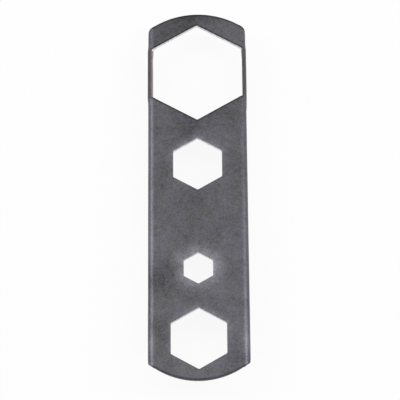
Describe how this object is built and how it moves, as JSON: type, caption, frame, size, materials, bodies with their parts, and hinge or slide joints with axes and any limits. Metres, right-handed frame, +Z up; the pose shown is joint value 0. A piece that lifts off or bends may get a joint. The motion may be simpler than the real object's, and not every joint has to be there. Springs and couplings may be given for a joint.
{
  "type": "bench wrench",
  "caption": "Pressed steel bench wrench: a folded channel plate with rounded ends, pierced with a row of hexagonal openings that fit over nuts and bolt heads.",
  "frame": {"origin": "middle of the footprint of the two flanges' free edges, on the surface that the wrench lies on", "axes": "+X across the wrench, +Y along it towards the head with the largest opening, +Z up out of the flat web"},
  "size_m": [0.035, 0.1366, 0.011],
  "materials": {
    "blackened_steel": "blackened, satin, finely mottled"
  },
  "bodies": {
    "root": {"wrench_body": "blackened_steel"}
  },
  "joints": []
}
